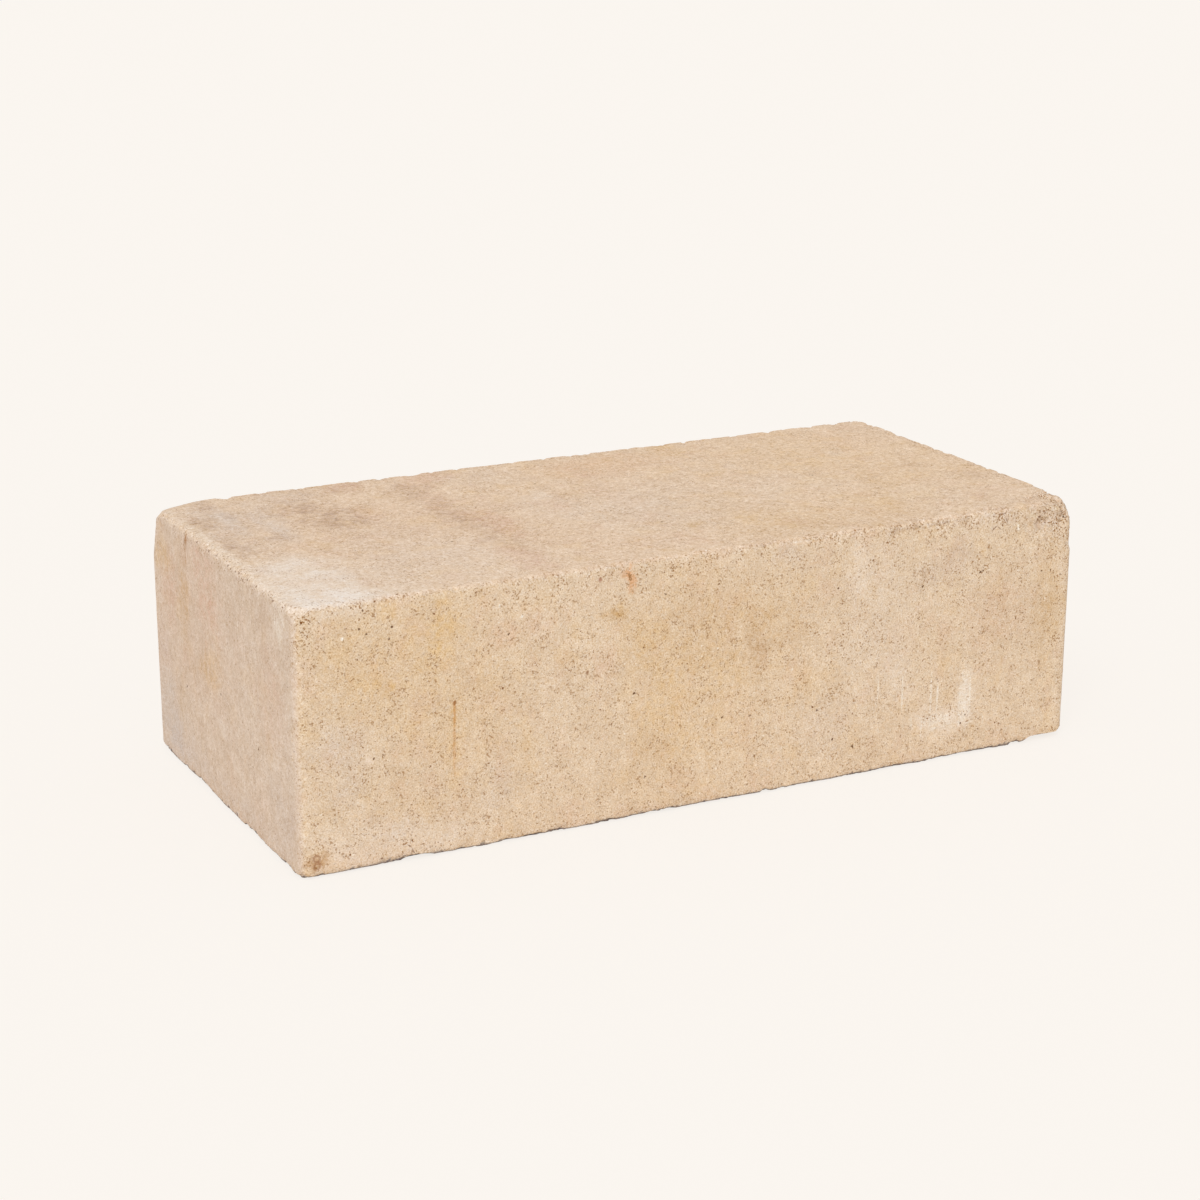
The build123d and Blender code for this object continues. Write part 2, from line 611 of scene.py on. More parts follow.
class NodeSheet:
    """The nodes of a material or a world, added one after another from left to right."""

    def __init__(self, owner: bpy.types.Material | bpy.types.World) -> None:
        """Clears the nodes.

        Args:
            owner: The material or world that has them.
        """
        owner.use_nodes = True
        self.tree = owner.node_tree
        self.tree.nodes.clear()

    def feed(self, socket: Socket, value: Any) -> None:
        """Links a socket to another one, or sets its number or colour.

        Args:
            socket: The socket that is fed.
            value: Another node's socket, a number, a vector or a colour.
        """
        if isinstance(value, Socket):
            self.tree.links.new(value, socket)
        else:
            socket.default_value = value

    def add(self, kind: str, inputs: dict[str | int, Any] | None = None, **settings: Any) -> bpy.types.Node:
        """Adds a node.

        Args:
            kind: Blender's name for the kind of node.
            inputs: What its sockets are fed with, by their names or numbers.
            settings: Its properties by name.

        Returns:
            The node.
        """
        count = len(self.tree.nodes)
        node = self.tree.nodes.new(kind)
        node.location = (180 * (count // 6), -170 * (count % 6))
        for name, value in settings.items():
            setattr(node, name, value)
        for name, value in (inputs or {}).items():
            self.feed(node.inputs[name], value)
        return node

    @cached_property
    def place(self) -> Socket:
        """The place on the brick, in metres."""
        return self.add("ShaderNodeTexCoord").outputs["Object"]

    def math(self, operation: str, *values: Any, clamp: bool = False) -> Socket:
        """Does one sum on numbers or sockets."""
        inputs = dict(enumerate(values))
        return self.add("ShaderNodeMath", inputs, operation=operation, use_clamp=clamp).outputs[0]

    def vector(self, operation: str, *values: Any) -> bpy.types.Node:
        """Does one sum on vectors or sockets."""
        return self.add("ShaderNodeVectorMath", dict(enumerate(values)), operation=operation)

    def moved(self, stretch: Triple = (1.0, 1.0, 1.0), shift: float = 0.0) -> Socket:
        """The place on the brick with each axis scaled and all shifted."""
        return self.vector("MULTIPLY_ADD", self.place, stretch, (shift, shift * 0.7, -shift)).outputs[0]

    def noise(self, kind: Noise) -> Socket:
        """The noise of one kind."""
        inputs = {
            "Vector": self.moved(kind.stretch, kind.shift),
            "Scale": 1 / (kind.size * MM),
            "Detail": kind.layers,
            "Roughness": kind.roughness,
        }
        return self.add("ShaderNodeTexNoise", inputs, noise_dimensions="3D").outputs[0]

    def swing(self, kind: Noise) -> Socket:
        """Noise that swings about 0, by its weight."""
        return self.math("MULTIPLY_ADD", self.noise(kind), kind.weight, -kind.weight / 2)

    def cells(self, spacing: float, shift: float = 0.0) -> tuple[Socket, Socket]:
        """Scattered points in space.

        Args:
            spacing: The points' mean spacing in millimetres.
            shift: How far they are moved away from other points.

        Returns:
            The distance to the nearest point, in spacings, and that point's random number.
        """
        inputs = {"Vector": self.moved(shift=shift), "Scale": 1 / (spacing * MM)}
        node = self.add("ShaderNodeTexVoronoi", inputs, feature="F1", distance="EUCLIDEAN")
        split = self.add("ShaderNodeSeparateColor", {0: node.outputs["Color"]})
        return node.outputs["Distance"], split.outputs[0]

    def ramp(self, value: Any, start: Any, end: Any, to_start: Any = 0.0, to_end: Any = 1.0) -> Socket:
        """Eases a value from one range to another and holds it at both ends."""
        inputs = dict(enumerate((value, start, end, to_start, to_end)))
        return self.add("ShaderNodeMapRange", inputs, interpolation_type="SMOOTHSTEP", clamp=True).outputs[0]

    def blend(self, share: Any, first: Any, second: Any) -> Socket:
        """Mixes two colours: share 0 is the first, 1 the second."""
        inputs = {0: share, 6: first, 7: second}
        return self.add("ShaderNodeMix", inputs, data_type="RGBA", clamp_factor=True).outputs[2]

    def level(self, share: Any, first: Any, second: Any) -> Socket:
        """Mixes two numbers: share 0 is the first, 1 the second."""
        inputs = {0: share, 2: first, 3: second}
        return self.add("ShaderNodeMix", inputs, data_type="FLOAT", clamp_factor=True).outputs[0]

    def shade(self, colour: Any, change: Any, follow: Triple) -> Socket:
        """Lightens a colour by a share of itself, red, green and blue each as far as they follow."""
        gain = self.vector("MULTIPLY_ADD", change, follow, (1.0, 1.0, 1.0)).outputs[0]
        return self.vector("MULTIPLY", colour, gain).outputs[0]

    def layer(self, name: str) -> Socket:
        """Reads one of the mesh's own maps."""
        return self.add("ShaderNodeAttribute", attribute_name=name).outputs["Fac"]

    def distance_from(self, centre: Triple, radii: Triple, turned: Triple) -> Socket:
        """The distance from a centre, in radii along turned axes.

        Args:
            centre: The centre in millimetres.
            radii: How far one unit is along each axis, in millimetres.
            turned: How far the axes are turned about X, Y and Z, in degrees.

        Returns:
            The socket with the distance.
        """
        offset = self.vector("SUBTRACT", self.place, in_metres(centre)).outputs[0]
        if any(turned):
            inputs = {"Vector": offset, "Rotation": tuple(math.radians(angle) for angle in turned)}
            turn = self.add("ShaderNodeVectorRotate", inputs, rotation_type="EULER_XYZ", invert=True)
            offset = turn.outputs[0]
        scaled = self.vector("DIVIDE", offset, in_metres(radii)).outputs[0]
        return self.vector("LENGTH", scaled).outputs["Value"]

    def show(self, kind: str, share: Any, first: bpy.types.Node, second: bpy.types.Node) -> None:
        """Mixes two shaders and shows the mix.

        Args:
            kind: Blender's name for the output node.
            share: 0 for the first shader, 1 for the second.
            first: The first shader.
            second: The second shader.
        """
        mix = self.add("ShaderNodeMixShader", {0: share, 1: first.outputs[0], 2: second.outputs[0]})
        self.add(kind, {"Surface": mix.outputs[0]})


@dataclass(frozen=True)
class FineMark:
    """A small sharp mark on one face, in millimetres along the face's two axes.

    ragged is how far its rim strays. hollow above 0 leaves its middle clear, as a dried
    ring has. turned is how far it is turned in the face, in degrees, and into how far it
    goes into the clay.
    """

    face: Face
    centre: Pair
    radii: Pair
    colour: Paint
    strength: float
    ragged: float = 0.5
    hollow: float = 0.0
    turned: float = 0.0
    into: float = 2.0

    def lie(self) -> tuple[Triple, Triple, Triple]:
        """The mark's centre, half sizes and turn on the brick's three axes."""
        centre = self.face.spread(self.centre, MARK_PLANES[self.face])
        return centre, self.face.spread(self.radii, self.into), self.face.spread((0.0, 0.0), self.turned)


@dataclass(frozen=True)
class Sand:
    """How strongly a face shows its sand: fine and coarse grains, pits, relief and odd hues."""

    fine: float
    coarse: float
    pits: float
    height: float
    hue: float


@dataclass(frozen=True)
class DarkPits:
    """Small dark pits of one kind.

    spacing is between the places that can hold one, in millimetres, share how many of
    them do, radius a pit's radius in spacings, and dark how dark it is.
    """

    spacing: float
    radius: float
    share: float
    dark: float


@dataclass(frozen=True)
class FiredClay:
    """Buff fired clay with a sandy face, dark pits, stains and rubbed arrises.

    The fields give its colours, how sandy each kind of face is, how far red, green and
    blue follow each kind of change, the noises that it is made from, and its placed marks.
    """

    name: str = "fired_clay"
    stretcher: Paint = paint(223, 200, 173)
    header: Paint = paint(217, 196, 176)
    bed: Paint = paint(228, 202, 175)
    ochre: Paint = paint(223, 184, 123)
    umber: Paint = paint(168, 127, 88)
    soot: Paint = paint(177, 146, 123)
    chalk: Paint = paint(240, 227, 214)
    rose: Paint = paint(214, 174, 149)
    slate: Paint = paint(208, 193, 182)
    rubbed: Paint = paint(238, 219, 198)
    speck: Paint = paint(162, 118, 74)
    pit: Paint = paint(136, 88, 44)
    lone_pit: Paint = paint(112, 76, 46)
    # Dark brown of the wear's crevices: partly the clay's own colour, partly painted shade.
    crevice_brown_and_shade: Paint = paint(150, 100, 56)
    # Colour of the painted contact shadow along the foot.
    contact_shadow: Paint = paint(76, 70, 80)
    white_grain: Paint = paint(250, 240, 226)
    stretcher_sand: Sand = Sand(fine=1.29, coarse=0.34, pits=1.0, height=1.0, hue=1.0)
    header_sand: Sand = Sand(fine=0.86, coarse=0.46, pits=0.66, height=0.5, hue=0.4)
    bed_sand: Sand = Sand(fine=0.94, coarse=0.68, pits=0.84, height=0.6, hue=0.5)
    bare_sand: Sand = Sand(fine=1.30, coarse=0.60, pits=1.1, height=1.1, hue=1.0)
    grains_follow: Triple = (0.68, 1.0, 1.48)
    hues_follow: Triple = (0.10, -0.02, -0.24)
    clouds_follow: Triple = (0.80, 1.0, 1.25)
    wide_clouds: Noise = Noise(26.0, 2.0, stretch=(1.0, 1.0, 0.6), weight=0.10)
    middling_clouds: Noise = Noise(6.0, 2.5, 0.6, (1.0, 1.0, 0.75), shift=0.5, weight=0.22)
    small_clouds: Noise = Noise(2.4, 2.0, 0.6, (1.0, 1.0, 0.8), shift=0.2, weight=0.28)
    warm_clouds: Noise = Noise(9.0, 3.0, 0.65, (1.0, 1.0, 0.8), shift=0.9)
    pink_clouds: Noise = Noise(7.0, 3.0, 0.65, (1.0, 1.0, 0.8), shift=1.7)
    warmth: float = 0.22
    header_warmth: float = 0.12
    breaks: Noise = Noise(1.7, 3.0, 0.65)
    blotches: Noise = Noise(5.0, 3.0, 0.7, shift=4.1)
    fine_grains: Noise = Noise(0.40, 1.5, 0.8)
    coarse_grains: Noise = Noise(1.2, 2.0, 0.6)
    odd_hues: Noise = Noise(1.2, 2.0, 0.75, shift=2.3)
    white_spacing: float = 1.5
    pit_groups: Noise = Noise(4.5, 3.0, 0.6, shift=3.1)
    soft_pits: Noise = Noise(0.48, 1.5, 0.6, shift=5.3)
    dark_pits: Sequence[DarkPits] = (DarkPits(0.95, 0.24, 0.036, 0.66), DarkPits(1.7, 0.15, 0.05, 0.95))
    mark_rims: Noise = Noise(1.3, 3.0, 0.7, weight=3.0)
    roughness: float = 0.93
    gloss: float = 0.12
    relief: float = 0.13
    marks: Sequence[FineMark] = ()
    lone_pits: Sequence[tuple[Face, Pair]] = ()
    lone_pit_radius: float = 0.33

    def material(self) -> bpy.types.Material:
        """Builds the clay's material.

        Returns:
            The material, whose colour and bump come from nodes alone.
        """
        material = bpy.data.materials.new(self.name)
        sheet = NodeSheet(material)
        colour: Any = sheet.blend(sheet.layer("header"), self.stretcher, self.header)
        colour = sheet.blend(sheet.layer("bed"), colour, self.bed)
        colour = self.clouds(sheet, colour)
        colour = self.stains(sheet, colour)
        colour = self.fine_marks(sheet, colour)
        colour, height = self.sand(sheet, colour)
        soft = sheet.noise(self.soft_pits)
        colour, depth = self.pits(sheet, colour, soft)
        colour, depth = self.lone_pits_and_shade(sheet, colour, depth, soft)
        relief = sheet.math("SUBTRACT", height, depth)
        bump = {"Strength": 1.0, "Distance": self.relief * MM, "Height": relief}
        surface = {
            "Base Color": colour,
            "Roughness": self.roughness,
            "Specular IOR Level": self.gloss,
            "Normal": sheet.add("ShaderNodeBump", bump).outputs[0],
        }
        shader = sheet.add("ShaderNodeBsdfPrincipled", surface)
        sheet.add("ShaderNodeOutputMaterial", {"Surface": shader.outputs[0]})
        return material

    def by_face(self, sheet: NodeSheet, quality: str) -> Any:
        """One quality of the sand, as each face has it.

        Args:
            sheet: The material's nodes.
            quality: The name of the quality in Sand.

        Returns:
            The socket with the quality's number.
        """
        number = getattr(self.stretcher_sand, quality)
        for layer, sand in (("header", self.header_sand), ("bed", self.bed_sand), ("rough", self.bare_sand)):
            number = sheet.level(sheet.layer(layer), number, getattr(sand, quality))
        return number

    def clouds(self, sheet: NodeSheet, colour: Any) -> Any:
        """Adds the wide, weak variation of a fired face.

        Args:
            sheet: The material's nodes.
            colour: The colour so far.

        Returns:
            The colour with its clouds.
        """
        change: Any = 0.0
        for kind in (self.wide_clouds, self.middling_clouds, self.small_clouds):
            change = sheet.math("ADD", sheet.swing(kind), change)
        colour = sheet.shade(colour, change, self.clouds_follow)
        most = sheet.level(sheet.layer("header"), self.warmth, self.header_warmth)
        warm = sheet.ramp(sheet.noise(self.warm_clouds), 0.5, 0.72, 0.0, most)
        colour = sheet.blend(warm, colour, self.ochre)
        pink = sheet.ramp(sheet.noise(self.pink_clouds), 0.5, 0.75, 0.0, most)
        return sheet.blend(pink, colour, self.rose)

    def stains(self, sheet: NodeSheet, colour: Any) -> Any:
        """Lays the placed patches over the clay, broken up by fine noise.

        Args:
            sheet: The material's nodes.
            colour: The colour so far.

        Returns:
            The stained colour.
        """
        broken = sheet.ramp(sheet.noise(self.breaks), 0.3, 0.7, 0.35, 1.5)
        calmer = sheet.math("MULTIPLY_ADD", broken, 0.4, 0.6)
        blotchy = sheet.ramp(sheet.noise(self.blotches), 0.35, 0.65, 0.45, 1.4)
        blotchy = sheet.math("MULTIPLY", broken, blotchy)
        stains = (
            (Tint.ROSE.value, self.rose, broken),
            (Tint.SLATE.value, self.slate, calmer),
            (Tint.CHALK.value, self.chalk, calmer),
            (Tint.CREAM.value, self.rubbed, calmer),
            (Tint.OCHRE.value, self.ochre, broken),
            (Tint.UMBER.value, self.umber, broken),
            (Tint.SOOT.value, self.soot, blotchy),
            ("pale", self.rubbed, broken),
        )
        for layer, tone, break_up in stains:
            share = sheet.math("MULTIPLY", sheet.layer(layer), break_up, clamp=True)
            colour = sheet.blend(share, colour, tone)
        return colour

    def fine_marks(self, sheet: NodeSheet, colour: Any) -> Any:
        """Adds the small placed marks: rust runs, a dried ring, chalky scrapes.

        Args:
            sheet: The material's nodes.
            colour: The colour so far.

        Returns:
            The marked colour.
        """
        rim = sheet.swing(self.mark_rims)
        for mark in self.marks:
            away = sheet.math("MULTIPLY_ADD", rim, mark.ragged, sheet.distance_from(*mark.lie()))
            share = sheet.ramp(away, 1.0, 0.35, 0.0, mark.strength)
            if mark.hollow > 0:
                share = sheet.math("MULTIPLY", share, sheet.ramp(away, 0.15, 0.60, 1 - mark.hollow, 1.0))
            colour = sheet.blend(share, colour, mark.colour)
        return colour

    def sand(self, sheet: NodeSheet, colour: Any) -> tuple[Any, Any]:
        """Gives the clay its sand: fine and coarse grains, and a few white ones.

        Args:
            sheet: The material's nodes.
            colour: The colour so far.

        Returns:
            The sandy colour, and the grains' height.
        """
        fine, coarse = sheet.swing(self.fine_grains), sheet.swing(self.coarse_grains)
        change = sheet.math("MULTIPLY", fine, self.by_face(sheet, "fine"))
        change = sheet.math("MULTIPLY_ADD", coarse, self.by_face(sheet, "coarse"), change)
        smoothed = sheet.math("MULTIPLY_ADD", sheet.layer(Tint.CHALK.value), -0.6, 1.0)
        colour = sheet.shade(colour, sheet.math("MULTIPLY", change, smoothed), self.grains_follow)
        hue = sheet.math("MULTIPLY", sheet.swing(self.odd_hues), self.by_face(sheet, "hue"))
        colour = sheet.shade(colour, hue, self.hues_follow)
        away, chance = sheet.cells(self.white_spacing, shift=0.6)
        few = sheet.math("MULTIPLY", self.by_face(sheet, "pits"), 0.045)
        grain = sheet.math("MULTIPLY", sheet.ramp(away, 0.22, 0.10), sheet.math("LESS_THAN", chance, few))
        colour = sheet.blend(sheet.math("MULTIPLY", grain, 0.6), colour, self.white_grain)
        height = sheet.math("MULTIPLY", sheet.math("ADD", coarse, fine), 0.8)
        return colour, sheet.math("MULTIPLY", height, self.by_face(sheet, "height"))

    def pits(self, sheet: NodeSheet, colour: Any, soft: Any) -> tuple[Any, Any]:
        """Adds the soft and the dark pits, which gather in loose groups.

        Args:
            sheet: The material's nodes.
            colour: The colour so far.
            soft: The noise that soft pits come from.

        Returns:
            The pitted colour and the pits' depth.
        """
        amount = self.by_face(sheet, "pits")
        pitted = sheet.layer(Tint.PITTED.value)
        group = sheet.ramp(sheet.noise(self.pit_groups), 0.38, 0.64)
        limit = sheet.math("MULTIPLY_ADD", group, 0.082, 0.351)
        limit = sheet.math("MULTIPLY_ADD", pitted, 0.045, limit)
        hole = sheet.ramp(soft, limit, sheet.math("SUBTRACT", limit, 0.09))
        hole = sheet.math("MULTIPLY", hole, sheet.math("MULTIPLY_ADD", pitted, 0.3, amount))
        colour = sheet.blend(sheet.math("MULTIPLY", hole, 0.72), colour, self.speck)
        depth = sheet.math("MULTIPLY", hole, 0.35)
        ruffle = sheet.math("MULTIPLY_ADD", soft, 0.5, -0.25)
        for kind in self.dark_pits:
            away, chance = sheet.cells(kind.spacing)
            common = sheet.math("MULTIPLY_ADD", pitted, 0.17, sheet.math("MULTIPLY", amount, kind.share))
            common = sheet.math("MULTIPLY", common, sheet.math("MULTIPLY_ADD", group, 1.4, 0.2))
            hole = sheet.ramp(sheet.math("ADD", ruffle, away), kind.radius, kind.radius * 0.4)
            hole = sheet.math("MULTIPLY", hole, sheet.math("LESS_THAN", chance, common))
            colour = sheet.blend(sheet.math("MULTIPLY", hole, kind.dark), colour, self.pit)
            depth = sheet.math("MULTIPLY_ADD", hole, 0.5, depth)
        return colour, depth

    def lone_pits_and_shade(self, sheet: NodeSheet, colour: Any, depth: Any, soft: Any) -> tuple[Any, Any]:
        """Adds the placed pits, the crevices' dark brown with painted shade, and a painted contact shadow
        along the foot.

        Args:
            sheet: The material's nodes.
            colour: The colour so far.
            depth: The pits' depth so far.
            soft: The noise that ruffles them.

        Returns:
            The clay's colour and the pits' depth.
        """
        radius = self.lone_pit_radius * MM
        nearest: Any = 1.0
        for face, spot in self.lone_pits:
            middle = in_metres(face.spread(spot, MARK_PLANES[face]))
            gap = sheet.vector("DISTANCE", sheet.place, middle).outputs["Value"]
            nearest = sheet.math("MINIMUM", gap, nearest)
        nearest = sheet.math("MULTIPLY_ADD", sheet.math("SUBTRACT", soft, 0.5), radius * 2.5, nearest)
        hole = sheet.ramp(nearest, radius * 1.2, radius * 0.4)
        colour = sheet.blend(sheet.math("MULTIPLY", hole, 0.9), colour, self.lone_pit)
        depth = sheet.math("MULTIPLY_ADD", hole, 0.8, depth)
        # The crevices between bared grains: dark brown, partly the clay's own colour and partly painted
        # shade.
        crevice_brown_and_shade = sheet.math("MULTIPLY", sheet.layer("hollow"), sheet.ramp(soft, 0.62, 0.38, 0.05, 0.74))
        colour = sheet.blend(crevice_brown_and_shade, colour, self.crevice_brown_and_shade)
        # Painted contact shadow along the foot, broken up by noise.
        contact_shadow = sheet.math("MULTIPLY", sheet.layer("foot_shadow"), sheet.ramp(soft, 0.30, 0.60, 0.95, 0.60))
        return sheet.blend(contact_shadow, colour, self.contact_shadow), depth


@dataclass(frozen=True)
class Studio:
    """A plain pale room: its floor, its even light and one soft lamp.

    Lights are in shares of full light on a level surface, and shown_shadow is the share
    of the brick's shadow that shows on the floor.
    """

    floor_size: float = 16.0
    paper: Paint = paint(251, 246, 240)
    white: Paint = (1.0, 1.0, 1.0, 1.0)
    sky: float = 0.70
    lamp: float = 0.38
    lamp_towards: Triple = (-0.42, -0.55, 0.72)
    lamp_spread: float = 30.0
    shown_shadow: float = 0.14

    def build(self) -> None:
        """Lays the floor and sets the lights."""
        self.lay_floor()
        self.light_room()
        self.hang_lamp()
        log.info("studio: floor, sky and lamp")

    @staticmethod
    def seen_directly(sheet: NodeSheet) -> Socket:
        """Tells where the eye, a gloss or a clear body sees the surface.

        Args:
            sheet: The nodes of the floor's material or of the world.

        Returns:
            A socket that is 1 there and else 0.
        """
        rays = sheet.add("ShaderNodeLightPath").outputs
        either = sheet.math("MAXIMUM", rays["Is Camera Ray"], rays["Is Glossy Ray"])
        return sheet.math("MAXIMUM", either, rays["Is Transmission Ray"])

    def lay_floor(self) -> None:
        """Lays a wide sheet of paper that shows part of the brick's shadow."""
        half = self.floor_size / 2
        mesh = bpy.data.meshes.new("floor")
        corners = [(-half, -half, 0), (half, -half, 0), (half, half, 0), (-half, half, 0)]
        mesh.from_pydata(corners, [], [(0, 1, 2, 3)])
        floor = bpy.data.objects.new("floor", mesh)
        bpy.context.scene.collection.objects.link(floor)
        material = bpy.data.materials.new("paper")
        mesh.materials.append(material)
        sheet = NodeSheet(material)
        plain = sheet.add("ShaderNodeBsdfDiffuse", {"Color": self.paper})
        glow = sheet.add("ShaderNodeEmission", {"Color": self.paper, "Strength": 1.0})
        share = sheet.math("MULTIPLY", self.seen_directly(sheet), 1 - self.shown_shadow)
        sheet.show("ShaderNodeOutputMaterial", share, plain, glow)

    def light_room(self) -> None:
        """Gives even white light from all round, with paper behind it."""
        world = bpy.data.worlds.new("room")
        bpy.context.scene.world = world
        sheet = NodeSheet(world)
        sky = sheet.add("ShaderNodeBackground", {"Color": self.white, "Strength": self.sky})
        backdrop = sheet.add("ShaderNodeBackground", {"Color": self.paper, "Strength": 1.0})
        sheet.show("ShaderNodeOutputWorld", self.seen_directly(sheet), sky, backdrop)

    def hang_lamp(self) -> None:
        """Hangs one broad soft lamp, high on the left in front."""
        light = bpy.data.lights.new("soft_lamp", "SUN")
        light.energy = self.lamp * math.pi
        light.angle = math.radians(self.lamp_spread)
        lamp = bpy.data.objects.new("soft_lamp", light)
        lamp.rotation_euler = Vector(self.lamp_towards).to_track_quat("Z", "Y").to_euler()
        bpy.context.scene.collection.objects.link(lamp)


@dataclass(frozen=True)
class Viewpoint:
    """The camera: what it aims at, from where and through what lens."""

    aim: Triple = (-0.002629, 0.003256, 0.038029)
    distance: float = 0.672089
    azimuth: float = -27.198
    elevation: float = 17.034
    roll: float = 0.086
    lens: float = 77.511
    film: float = 36.0
    sight: float = 50.0

    def build(self) -> None:
        """Places the camera."""
        across, up = math.radians(self.azimuth), math.radians(self.elevation)
        back = Vector((math.sin(across) * math.cos(up), -math.cos(across) * math.cos(up), math.sin(up)))
        right = Vector((0, 0, 1)).cross(back).normalized()
        above = back.cross(right)
        turn = Matrix.Rotation(math.radians(self.roll), 3, back)
        axes = Matrix((turn @ right, turn @ above, back)).transposed()
        camera_data = bpy.data.cameras.new("camera")
        camera_data.sensor_fit = "HORIZONTAL"
        camera_data.sensor_width = self.film
        camera_data.lens = self.lens
        camera_data.clip_end = self.sight
        camera = bpy.data.objects.new("camera", camera_data)
        camera.matrix_world = Matrix.Translation(Vector(self.aim) + back * self.distance) @ axes.to_4x4()
        bpy.context.scene.collection.objects.link(camera)
        bpy.context.scene.camera = camera
        log.info("camera placed")


SOFT = Crumble(reach=1.6, loss=0.08, nibble=0.15, grain=0.12)
GRAINY = Crumble(reach=2.2, loss=0.20, nibble=0.40, grain=0.22)
CHALKY = Crumble(reach=2.6, loss=0.12, nibble=0.40, grain=0.12)
JAGGED = Crumble(reach=2.2, loss=0.45, nibble=0.55, grain=0.14)
BROKEN = Crumble(reach=3.4, loss=0.22, nibble=0.50, grain=0.20)
BUMPY = Crumble(reach=4.2, loss=0.25, nibble=0.60, grain=0.14)
GOUGED = Crumble(reach=3.0, loss=0.75, nibble=0.30, grain=0.12)
CRUMBLED = Crumble(reach=3.4, loss=0.28, nibble=0.90, grain=0.42)
WORN_PLACES = (
    Arris(FRONT, TOP, GRAINY, paleness=0.25),
    Arris(LEFT, TOP, CHALKY, paleness=0.55),
    Arris(BACK, TOP, BUMPY),
    Arris(RIGHT, TOP, BUMPY),
    Arris(FRONT, LOWER, JAGGED, paleness=0.30),
    Arris(LEFT, LOWER, JAGGED, paleness=0.20),
    Arris(BACK, LOWER, JAGGED),
    Arris(RIGHT, LOWER, JAGGED),
    Arris(LEFT, FRONT, SOFT, paleness=0.3),
    Arris(LEFT, BACK, SOFT),
    Arris(RIGHT, FRONT, SOFT),
    Arris(RIGHT, BACK, SOFT),
    RoughPlace((101.0, -47.0, 61.0), (13.0, 10.0, 8.0), CRUMBLED, paleness=0.25),
    RoughPlace((76.0, -50.5, 64.0), (36.0, 3.5, 3.6), BROKEN, paleness=0.15),
    RoughPlace((107.0, -50.5, 58.0), (5.0, 5.0, 9.0), CRUMBLED),
    RoughPlace((106.5, -50.0, 53.0), (3.0, 3.0, 2.6), GOUGED),
)


def patches_on(face: Face, tint: Tint, *rows: tuple[float, ...]) -> list[Patch]:
    """Patches of one tint on one face, each row its centre, its radii and its strength."""
    return [Patch(face, tint, row[:2], row[2:4], row[4]) for row in rows]


